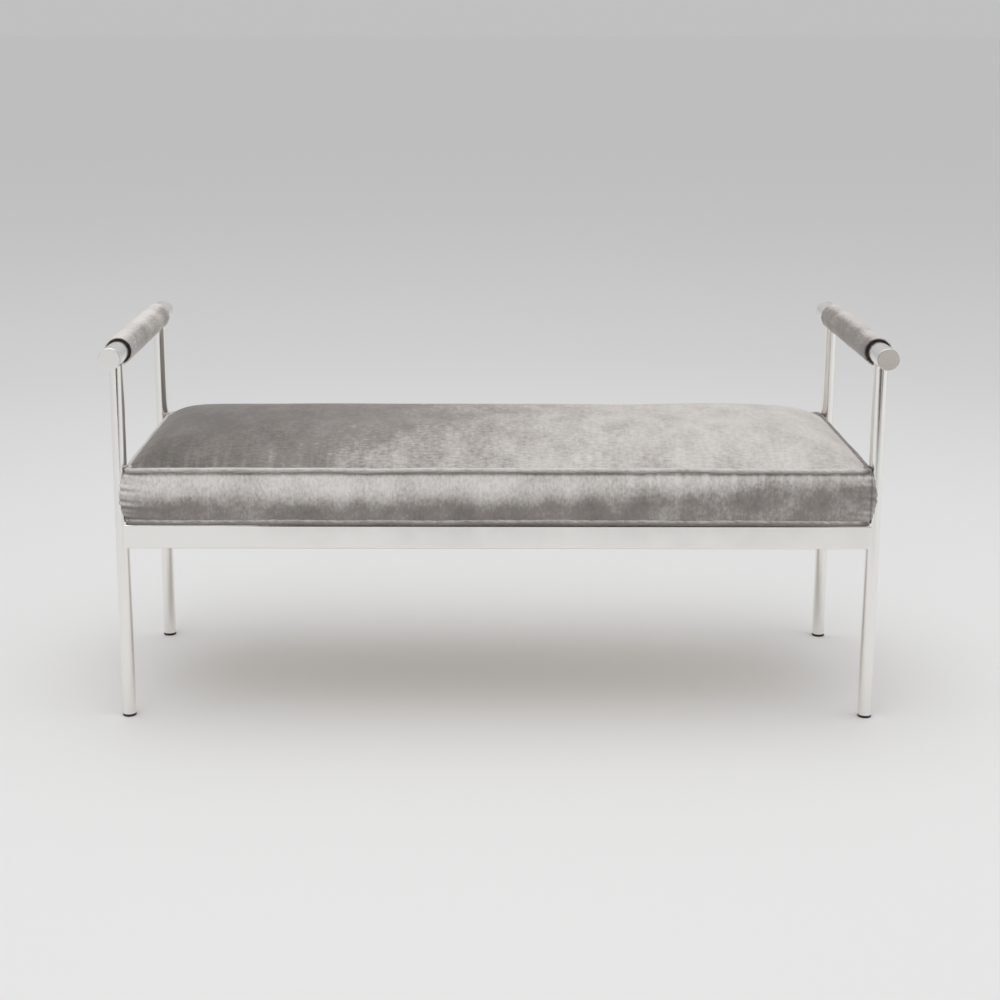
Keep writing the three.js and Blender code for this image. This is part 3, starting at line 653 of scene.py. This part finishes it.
def add_nap_and_painted_light(mesh, co, normal):
    """How far the pile is brushed towards the light, from 0 to 1, with painted light and shade in
    it.
    On the top a painted sheen rises along the bench, with short light streaks at the left of the
    front and rear seams. On the boxing painted light from above rises with height past a limit that
    wavers and climbs to the right, with light streaks under the welt there, painted highlight and
    shade on the corner creases, and painted shade under the top welt and down the right corners."""
    x, y, z = co.T
    along = np.where(np.abs(normal[:, 1]) > np.abs(normal[:, 0]), x, y)
    brushed = np.maximum(waves(along, BRUSHED_LENGTHS, 25), 0)
    # Painted sheen: the top panel darker at the left and lighter towards the right, as a glossy
    # reflection would make it.
    painted_sheen_along = smooth(-0.52, 0.16, x + 0.1 * waves(y, [0.35, 0.6], 21))
    top = TOP_DARK + TOP_SHEEN_RISE * painted_sheen_along + TOP_RIGHT_SHEEN_RISE * smooth(0, 0.5, x)
    by_seam = np.exp(-(SEAM_HALF_Y - np.abs(y)) / TOP_BRUSHED_REACH)
    top = top + TOP_BRUSHED * (1 - smooth(-0.35, 0.05, x)) * brushed * by_seam
    # Painted light from above: the boxing lighter above a wavering limit that climbs to the right,
    # darker below it, and a little lighter at the right end.
    limit = LIMIT + LIMIT_WAVER * waves(along, [0.17, 0.31, 0.55], 23)
    limit = limit + LIMIT_CLIMB * smooth(0.05, 0.5, x)
    painted_light_above = smooth(limit - LIMIT_BLUR, limit + LIMIT_BLUR, boxing_height(z))
    boxing = BOXING_DARK + BOXING_RIGHT_RISE * smooth(0.2, 0.5, x) + BOXING_PAINTED_LIGHT_RISE * painted_light_above
    # Painted shade in the crevice just under the top welt, drawn as a thin dark line.
    crevice_shade = np.exp(-((TOP_SEAM_Z - CREVICE_SHADE_BELOW - z) / CREVICE_SHADE_WIDTH) ** 2)
    # Painted highlight and shade on the corner creases, following their waves, stronger at the left
    # end.
    crease_painted_light = np.where(x < 0, CREASE_PAINTED_LIGHT_LEFT, CREASE_PAINTED_LIGHT_RIGHT)
    boxing = boxing + crease_painted_light * corner_creases(x, y, z) - CREVICE_SHADE * crevice_shade
    under_welt = np.exp(-(TOP_SEAM_Z - z) / BOXING_BRUSHED_REACH)
    boxing = boxing + BOXING_BRUSHED * smooth(0.1, 0.3, x) * brushed * under_welt
    # Painted shade: a dark line down the upright corners of the right end, past the legs.
    corner_seam_shade = np.exp(-((np.abs(x) - SEAM_HALF_X - CORNER_SEAM_OUT) / CORNER_SEAM_WIDTH) ** 2)
    corner_seam_shade = corner_seam_shade * (np.abs(y) > LEG_OUTER_Y) * (x > 0)
    nap_and_painted_light = np.where(z > TOP_SEAM_Z, top, boxing - CORNER_SEAM_SHADE * corner_seam_shade)
    layer = mesh.attributes.new("nap_and_painted_light", "FLOAT", "POINT")
    layer.data.foreach_set("value", nap_and_painted_light.astype(np.float32))


add_nap_and_painted_light(fine_mesh, *read_points(fine_mesh))


def per_metre(size):
    """Scale of a pattern that repeats at those two sizes in metres."""
    return 1 / size[0], 1 / size[1], 1


def crushed_velvet():
    """Crushed viscose velvet: warm grey, its pile lying in streaks and patches, light or dark,
    with painted light and shade from the mesh attribute added to its colour.
    Sizes are along and across the bench on panels, and along and up the cloth on boxing strips.
    Real pile is finer than a tenth of a millimetre: streaks and threads are coarser to show."""
    patterns = {"panel": ((0.0075, 0.024), 6, 0.78), "strip": ((0.006, 0.011), 6, 0.75),
                "patch": ((0.06, 0.075), 5, 0.6)}
    panel_threads, strip_threads = (0.012, 0.0036), (0.0042, 0.0075)
    material, tree, shader = new_material("crushed_velvet")
    uv = add_node(tree, "ShaderNodeUVMap", settings={"uv_map": "cloth"}).outputs["UV"]
    strip_face = add_node(tree, "ShaderNodeAttribute", settings={"attribute_name": "boxing"})
    nap_and_light_attribute = add_node(tree, "ShaderNodeAttribute", settings={"attribute_name": "nap_and_painted_light"})
    boxing, nap_and_painted_light = strip_face.outputs["Fac"], nap_and_light_attribute.outputs["Fac"]
    lie = {}
    for name, (size, detail, roughness) in patterns.items():
        place = add_node(tree, "ShaderNodeMapping", values={"Scale": per_metre(size)},
                         links={"Vector": uv})
        noise = add_node(tree, "ShaderNodeTexNoise", links={"Vector": place.outputs["Vector"]},
                         values={"Scale": 1, "Detail": detail, "Roughness": roughness})
        lie[name] = noise.outputs["Fac"]
    streaks = add_node(tree, "ShaderNodeMix",
                       links={"Factor": boxing, "A": lie["panel"], "B": lie["strip"]})
    thread_size = add_node(tree, "ShaderNodeMix", settings={"data_type": "VECTOR"},
                           links={"Factor": boxing})
    thread_size.inputs["A"].default_value = per_metre(panel_threads)
    thread_size.inputs["B"].default_value = per_metre(strip_threads)
    thread_place = add_node(tree, "ShaderNodeVectorMath", settings={"operation": "MULTIPLY"},
                            links={0: uv, 1: thread_size.outputs["Result"]})
    threads = add_node(tree, "ShaderNodeTexNoise", links={"Vector": thread_place.outputs["Vector"]},
                       values={"Scale": 1, "Detail": 3, "Roughness": 0.65})
    streaked = add_node(tree, "ShaderNodeMath", settings={"operation": "MULTIPLY_ADD"},
                        values={1: 0.5, 2: -0.25}, links={0: streaks.outputs["Result"]})
    tufted = add_node(tree, "ShaderNodeMath", settings={"operation": "MULTIPLY_ADD"},
                      values={1: 0.6, 2: -0.3}, links={0: threads.outputs["Fac"]})
    grain = add_node(tree, "ShaderNodeMath",
                     links={0: streaked.outputs["Value"], 1: tufted.outputs["Value"]})
    uneven = add_node(tree, "ShaderNodeMath", settings={"operation": "SUBTRACT"}, values={1: 0.5},
                      links={0: lie["patch"]})
    amount = add_node(tree, "ShaderNodeMapRange", values={"To Min": 0.65, "To Max": 0.95},
                      links={"Value": boxing})
    patched = add_node(tree, "ShaderNodeMath", settings={"operation": "MULTIPLY"},
                       links={0: uneven.outputs["Value"], 1: amount.outputs["Result"]})
    # The attribute's painted light and shade set how strongly the grain shows on the boxing, and
    # are added to the lie that picks the colour.
    raised = add_node(tree, "ShaderNodeMapRange", links={"Value": nap_and_painted_light},
                      values={"From Min": 0.3, "From Max": 0.85, "To Min": 0.6, "To Max": 1.35})
    strength = add_node(tree, "ShaderNodeMix", values={"A": 1.0},
                        links={"Factor": boxing, "B": raised.outputs["Result"]})
    crushed = add_node(tree, "ShaderNodeMath", settings={"operation": "MULTIPLY_ADD"},
                       links={0: grain.outputs["Value"], 1: strength.outputs["Result"],
                              2: patched.outputs["Value"]})
    lean_and_painted_light = add_node(tree, "ShaderNodeMath", links={0: crushed.outputs["Value"], 1: nap_and_painted_light})
    colour = add_node(tree, "ShaderNodeValToRGB", links={"Fac": lean_and_painted_light.outputs["Value"]},
                      stops=[(0.0, "#6b6662"), (1.0, "#e2dedb"),
                             (0.34, "#8d8783"), (0.66, "#c5c0bc")])
    rough = add_node(tree, "ShaderNodeMapRange", values={"To Min": 0.75, "To Max": 0.52},
                     links={"Value": lean_and_painted_light.outputs["Value"]})
    height = add_node(tree, "ShaderNodeMath", settings={"operation": "MULTIPLY_ADD"},
                      values={1: 0.35},
                      links={0: threads.outputs["Fac"], 2: streaks.outputs["Result"]})
    bump = add_node(tree, "ShaderNodeBump", values={"Strength": 0.35, "Distance": 0.0006},
                    links={"Height": height.outputs["Value"]})
    tree.links.new(colour.outputs["Color"], shader.inputs["Base Color"])
    tree.links.new(rough.outputs["Result"], shader.inputs["Roughness"])
    tree.links.new(bump.outputs["Normal"], shader.inputs["Normal"])
    shader.inputs["Sheen Weight"].default_value = 0.35
    shader.inputs["Sheen Roughness"].default_value = 0.4
    shader.inputs["Sheen Tint"].default_value = linear("#efe9e4")
    shader.inputs["Specular IOR Level"].default_value = 0.3
    return material


velvet = crushed_velvet()
fine_mesh.materials.clear()
fine_mesh.materials.append(velvet)
fine_mesh.shade_smooth()
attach(cover, "cushion")
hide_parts("cover_top", "cover_bottom", "foam_block", "fibre_crown",
            "boxing_front", "boxing_rear", "boxing_left", "boxing_right")

# Welts: velvet cut on the bias and wrapped round a cotton cord, sewn into the top and bottom seams.
# They follow the seam lines and wander a little, as a sewn cord does.
WELT_RADIUS = 0.0044
WELT_FROM_LEG = COVER_FROM_LEG + WELT_RADIUS
WELT_SEGMENTS = 20
WELT_LONG_STEPS = 170
WELT_END_STEPS = 64
WELT_CORNER_STEPS = 10
WELT_WANDER, WANDER_PER_LOOP = 0.0011, np.array([5, 9, 16, 23])
WELT_UNEVEN, UNEVEN_PER_LOOP = 0.03, np.array([31, 57, 83])
WELT_PAINTED_SHADE = 0.3
WELT_SHADOW_END, WELT_SHADOW_FROM, WELT_SHADOW_TO = 0.5, 0.575, 0.588
WELT_OVER_RAIL = 0.0014
WELTS = {"top": (TOP_SEAM_Z, 31, 0.5),
         "bottom": (RAIL_TOP + WELT_OVER_RAIL + WELT_RADIUS, 41, 0.34)}


def seam_line():
    """The seam's plan as one closed run of places and outward directions: straight sides, and
    quarter circles between them."""
    flat_x = SEAM_HALF_X - SEAM_CORNER
    flat_y = SEAM_HALF_Y - SEAM_CORNER
    arc = np.linspace(0, np.pi / 2, WELT_CORNER_STEPS)
    sides = [(flat_x, -flat_y, 2 * flat_y, WELT_END_STEPS),
             (flat_x, flat_y, 2 * flat_x, WELT_LONG_STEPS),
             (-flat_x, flat_y, 2 * flat_y, WELT_END_STEPS),
             (-flat_x, -flat_y, 2 * flat_x, WELT_LONG_STEPS)]
    place, outward = [], []
    for quarter, (x, y, length, count) in enumerate(sides):
        turn = quarter * np.pi / 2
        facing = np.array([np.cos(turn), np.sin(turn)])
        onward = np.array([-np.sin(turn), np.cos(turn)])
        step = np.linspace(0, length, count)[:, None]
        angle = turn + arc[1:-1]
        round_out = np.stack([np.cos(angle), np.sin(angle)], -1)
        start = np.array([x, y])
        place += [start + SEAM_CORNER * facing + step * onward,
                  start + length * onward + SEAM_CORNER * round_out]
        outward += [np.repeat(facing[None], count, 0), round_out]
    return np.concatenate(place), np.concatenate(outward)


def welt_points(z, seed):
    """A circle carried round the seam line, with slow waves in height and slight ones in radius."""
    place, outward = seam_line()
    x, y = place.T
    y = y * (1 - SEAM_DRAW_IN / SEAM_HALF_Y * np.maximum(0, 1 - (x / SEAM_HALF_X) ** 2))
    x = beside_leg(x, y, WELT_FROM_LEG)
    length = np.concatenate([[0], np.cumsum(np.hypot(np.diff(x), np.diff(y)))])
    loop = length[-1] + np.hypot(x[0] - x[-1], y[0] - y[-1])
    rise = WELT_WANDER * waves(length, loop / WANDER_PER_LOOP, seed)
    radius = WELT_RADIUS * (1 + WELT_UNEVEN * waves(length, loop / UNEVEN_PER_LOOP, seed + 1))
    angle = np.linspace(0, 2 * np.pi, WELT_SEGMENTS, endpoint=False)[:, None]
    out = radius * np.cos(angle)
    rings = [x + outward[:, 0] * out, y + outward[:, 1] * out, z + rise + radius * np.sin(angle)]
    return np.stack(rings, -1), length


def add_strip_places(mesh, across, along, nap_and_painted_light):
    """UV in metres on a tube, length along it and way round it, and the lie of its pile with
    painted light and shade.
    """
    corner = np.empty(len(mesh.loops), np.int32)
    mesh.loops.foreach_get("vertex_index", corner)
    places = np.stack([along.ravel()[corner], across.ravel()[corner]], -1)
    layer = mesh.uv_layers.new(name="cloth")
    layer.uv.foreach_set("vector", places.astype(np.float32).ravel())
    lie = mesh.attributes.new("nap_and_painted_light", "FLOAT", "POINT")
    lie.data.foreach_set("value", nap_and_painted_light.ravel().astype(np.float32))


for name, (z, seed, lie) in WELTS.items():
    points, length = welt_points(z, seed)
    cord = new_piece(f"welt_cord_{name}", points, tube_faces(points), velvet,
                     "cushion", [f"welt_{name}"], sharp=80)
    step = np.arange(WELT_SEGMENTS)[:, None] * 2 * np.pi * WELT_RADIUS / WELT_SEGMENTS
    way_round = np.repeat(step, points.shape[1], 1)
    # Painted light and shade on each welt: lighter over its top, darker beneath, and a painted
    # shadow over the right end's welt.
    shadowed_end = smooth(WELT_SHADOW_FROM, WELT_SHADOW_TO, points[..., 0])
    nap_and_painted_light = lie + WELT_PAINTED_SHADE * np.sin(way_round / WELT_RADIUS) - WELT_SHADOW_END * shadowed_end
    on_the_bias = np.repeat(length[None], WELT_SEGMENTS, 0) + way_round
    add_strip_places(cord.data, way_round, on_the_bias, nap_and_painted_light)

# Arm pads: a sleeve of the same velvet drawn tight over a dark foam tube on each bar.
# The sleeve is seamed underneath and turned in at its ends, where the foam shows as a dark ring.
PAD_RADIUS = 0.023
PAD_HALF = 0.173
PAD_TURNS = 120
PAD_STEPS = 49
PAD_CLOSER = 0.5
HEM_THICKNESS = 0.0026
HEM_FLAT = 0.004
HEM_DEPTH = 0.02
HEM_STEPS = 9
SLEEVE_RIPPLE, SLEEVE_RIPPLE_LENGTHS = 0.0003, [0.045, 0.07, 0.16]
SLEEVE_TUCK, SLEEVE_TUCK_REACH = 0.0005, 0.012
SLEEVE_SEAM, SLEEVE_SEAM_WIDTH, SLEEVE_SEAM_TURN = 0.0007, 0.05, 0.2
SLEEVE_DRAWN_IN = 0.0004
PAD_PAINTED_LIGHT = {"left": (0.48, 0.42), "right": (0.27, 0.24)}
PAD_PAINTED_LIGHT_TOP = 0.45
PAD_UNEVEN = 0.06
FOAM_GAP = 0.0002
FOAM_SET_BACK = 0.0012
FOAM_EDGE = 0.0008


def sleeve_points(sign):
    """Rings from inside one end, over the rolled hem, along the outside with slight ripples, tucks
    at the ends and a raised seam underneath, and in again at the other end."""
    roll = np.linspace(-np.pi / 2, np.pi / 2, HEM_STEPS)
    edge = HEM_THICKNESS / 2
    inner = PAD_RADIUS - HEM_THICKNESS
    straight = closer_at_ends(PAD_STEPS, PAD_CLOSER) * (PAD_HALF - HEM_FLAT)
    front = np.stack([inner + edge + edge * np.sin(roll),
                      -PAD_HALF + edge - edge * np.cos(roll)], -1)
    back = front[::-1] * [1, -1]
    middle = np.stack([np.full(PAD_STEPS, PAD_RADIUS), straight], -1)
    profile = np.concatenate([[[inner, -PAD_HALF + HEM_DEPTH]], front, middle, back,
                              [[inner, PAD_HALF - HEM_DEPTH]]])
    angle = np.linspace(0, 2 * np.pi, PAD_TURNS, endpoint=False)
    radius, along = profile.T[..., None]
    outside = radius > PAD_RADIUS - edge
    slanted = along + 0.01 * np.cos(3 * angle + sign)
    ripple = waves(slanted, SLEEVE_RIPPLE_LENGTHS, 51 + sign)
    ends = np.exp(-(PAD_HALF - np.abs(along)) / SLEEVE_TUCK_REACH)
    tucks = ends * np.cos(17 * angle + sign) * np.cos(5 * angle)
    from_seam = np.mod(angle + np.pi, 2 * np.pi) - np.pi / 2 - SLEEVE_SEAM_TURN * sign
    seam = np.exp(-(from_seam / SLEEVE_SEAM_WIDTH) ** 2)
    radius = radius + outside * (SLEEVE_RIPPLE * ripple + SLEEVE_TUCK * tucks + SLEEVE_SEAM * seam
                                 - SLEEVE_DRAWN_IN)
    return np.stack([radius * np.cos(angle), radius * np.sin(angle), along + 0 * angle], -1)


def charcoal_foam():
    """Cut foam: charcoal grey, dull, with open cells of about a millimetre and a half."""
    cell_size = 0.0016
    material, tree, shader = new_material("charcoal_foam")
    place = add_node(tree, "ShaderNodeTexCoord").outputs["Object"]
    cells = add_node(tree, "ShaderNodeTexVoronoi", values={"Scale": 1 / cell_size},
                     links={"Vector": place})
    colour = add_node(tree, "ShaderNodeValToRGB", links={"Fac": cells.outputs["Distance"]},
                      stops=[(0.1, "#1c1b1a"), (0.7, "#4a4744")])
    bump = add_node(tree, "ShaderNodeBump", values={"Strength": 0.5, "Distance": 0.0006},
                    links={"Height": cells.outputs["Distance"]})
    tree.links.new(colour.outputs["Color"], shader.inputs["Base Color"])
    shader.inputs["Roughness"].default_value = 0.95
    tree.links.new(bump.outputs["Normal"], shader.inputs["Normal"])
    return material


foam = charcoal_foam()
foam_inner = BAR_RADIUS + FOAM_GAP
foam_outer = PAD_RADIUS - HEM_THICKNESS - FOAM_GAP
foam_half = PAD_HALF - FOAM_SET_BACK
foam_end = [(foam_inner, foam_half - FOAM_EDGE), (foam_inner + FOAM_EDGE, foam_half),
            (foam_outer - FOAM_EDGE, foam_half), (foam_outer, foam_half - FOAM_EDGE)]
foam_profile = [(radius, -along) for radius, along in foam_end] + foam_end[::-1]
for side, sign in SIDES.items():
    points = sleeve_points(sign)
    on_bar = laid_front_to_back(points, sign * LEG_X, 0)
    pad = new_piece(f"arm_sleeve_{side}", on_bar, tube_faces(on_bar), velvet,
                    "frame", [f"arm_cover_{side}"], sharp=70)
    way_round = np.arctan2(points[..., 1], points[..., 0])
    facing_out = np.cos(way_round) * sign
    facing_up = -np.sin(way_round)
    # Painted light and shade on each sleeve: lighter over the top and outer side and on the lower
    # edge, darker between, and the right pad darker than the left; only the slow waves are the
    # pile's own tone.
    dark, painted_light_under = PAD_PAINTED_LIGHT[side]
    lie = dark + PAD_PAINTED_LIGHT_TOP * smooth(0.35, 1, facing_up + 0.45 * facing_out)
    lie = lie + painted_light_under * smooth(0, 0.9, -facing_up)
    lie = lie + PAD_UNEVEN * waves(points[..., 2], [0.09, 0.21], 61 + sign)
    add_strip_places(pad.data, way_round * PAD_RADIUS, points[..., 2], lie)
    points = laid_front_to_back(turned(foam_profile, BAR_SEGMENTS), sign * LEG_X, 0)
    core = new_piece(f"arm_foam_core_{side}", points, tube_faces(points), foam,
                     "frame", [f"arm_foam_{side}"])

# Stage: a plain pale paper floor with a painted pool of light, lighter near the bench and greyer
# with distance, and an even grey surround.
# Upright cards stand in front, out of view, and give the metal its dark lines.
FLOOR_HALF = 300
CARD_Y = -1.5
CARD_TOP = 1.3
CARDS = {"front": (-0.55, 0.8, "#332d28"), "grey": (0.8, 1.08, "#cfcbc5"),
         "right": (1.08, 2.4, "#332d28")}
PAINTED_LIGHT_WITHIN, PAINTED_FALLOFF_BEYOND = 0.4, 3.0


def flat_board(name, outline, material):
    """One flat face with those four corners."""
    mesh = bpy.data.meshes.new(name)
    mesh.from_pydata(outline, [], [(0, 1, 2, 3)])
    mesh.materials.append(material)
    board = bpy.data.objects.new(name, mesh)
    bpy.context.scene.collection.objects.link(board)
    return board


paper, tree, shader = new_material("studio_paper")
place = add_node(tree, "ShaderNodeTexCoord").outputs["Object"]
away = add_node(tree, "ShaderNodeVectorMath", settings={"operation": "LENGTH"}, links={0: place})
# Painted pool of light: the paper's colour lighter near the bench and greyer far off.
share = add_node(tree, "ShaderNodeMapRange", links={"Value": away.outputs["Value"]},
                 values={"From Min": PAINTED_LIGHT_WITHIN, "From Max": PAINTED_FALLOFF_BEYOND})
pale = add_node(tree, "ShaderNodeValToRGB", links={"Fac": share.outputs["Result"]},
                stops=[(0.0, "#ebebeb"), (1.0, "#dedede")])
tree.links.new(pale.outputs["Color"], shader.inputs["Base Color"])
shader.inputs["Roughness"].default_value = 0.9
shader.inputs["Specular IOR Level"].default_value = 0.1
floor = flat_board("floor", [(-FLOOR_HALF, -FLOOR_HALF, 0), (FLOOR_HALF, -FLOOR_HALF, 0),
                             (FLOOR_HALF, FLOOR_HALF, 0), (-FLOOR_HALF, FLOOR_HALF, 0)], paper)

for name, (left, right, colour) in CARDS.items():
    matt_card, tree, shader = new_material(f"card_{name}")
    shader.inputs["Base Color"].default_value = linear(colour)
    shader.inputs["Roughness"].default_value = 0.9
    outline = [(left, CARD_Y, 0), (right, CARD_Y, 0),
               (right, CARD_Y, CARD_TOP), (left, CARD_Y, CARD_TOP)]
    card = flat_board(f"card_{name}", outline, matt_card)
    card.visible_camera = card.visible_diffuse = card.visible_shadow = False

world = bpy.data.worlds.new("surround")
bpy.context.scene.world = world
world.use_nodes = True
tree = world.node_tree
place = add_node(tree, "ShaderNodeTexCoord").outputs["Generated"]
way = add_node(tree, "ShaderNodeSeparateXYZ", links={"Vector": place})
grey = add_node(tree, "ShaderNodeValToRGB", links={"Fac": way.outputs["Z"]},
                stops=[(0.05, "#c0c0c0"), (1.0, "#e6e6e6")])
tree.links.new(grey.outputs["Color"], tree.nodes["Background"].inputs["Color"])

# Lights: a broad soft one overhead, a weak fill from the front left, and one from the right
# that puts the white lines into the metal.


def soft_light(name, place, aim, size, power):
    """A rectangular area light at a place, turned to face a point."""
    data = bpy.data.lights.new(name, "AREA")
    data.shape = "RECTANGLE"
    data.size, data.size_y = size
    data.energy = power
    light = bpy.data.objects.new(name, data)
    way = np.array(aim, float) - np.array(place, float)
    tilt = math.acos(-way[2] / np.linalg.norm(way))
    light.location = place
    light.rotation_euler = (tilt, 0, math.atan2(way[1], way[0]) - math.pi / 2)
    bpy.context.scene.collection.objects.link(light)


soft_light("overhead", (-0.3, -0.4, 5.0), (0, 0, 0.3), (6.0, 5.0), 80)
soft_light("front_fill", (-1.6, -3.6, 2.2), (0, 0, 0.35), (2.4, 1.8), 14)
soft_light("right_fill", (3.0, -0.4, 0.9), (0, 0, 0.4), (2.2, 1.6), 9)

# Camera: in front of the bench, at chest height, tilted down a little and shifted so that the
# bench stands in the frame as it does in the photograph.
CAMERA_DOWN = 11.35
CAMERA_TURN = 0.0052
camera_data = bpy.data.cameras.new("camera")
camera_data.sensor_width = 36
camera_data.lens = 62.7
camera_data.shift_x = 0.0372
camera_data.shift_y = -0.12
camera = bpy.data.objects.new("camera", camera_data)
camera.location = (-0.0414, -2.8871, 1.1008)
camera.rotation_euler = (math.radians(90 - CAMERA_DOWN), 0, CAMERA_TURN)
bpy.context.scene.collection.objects.link(camera)
bpy.context.scene.camera = camera
bpy.context.scene.view_settings.view_transform = "Standard"
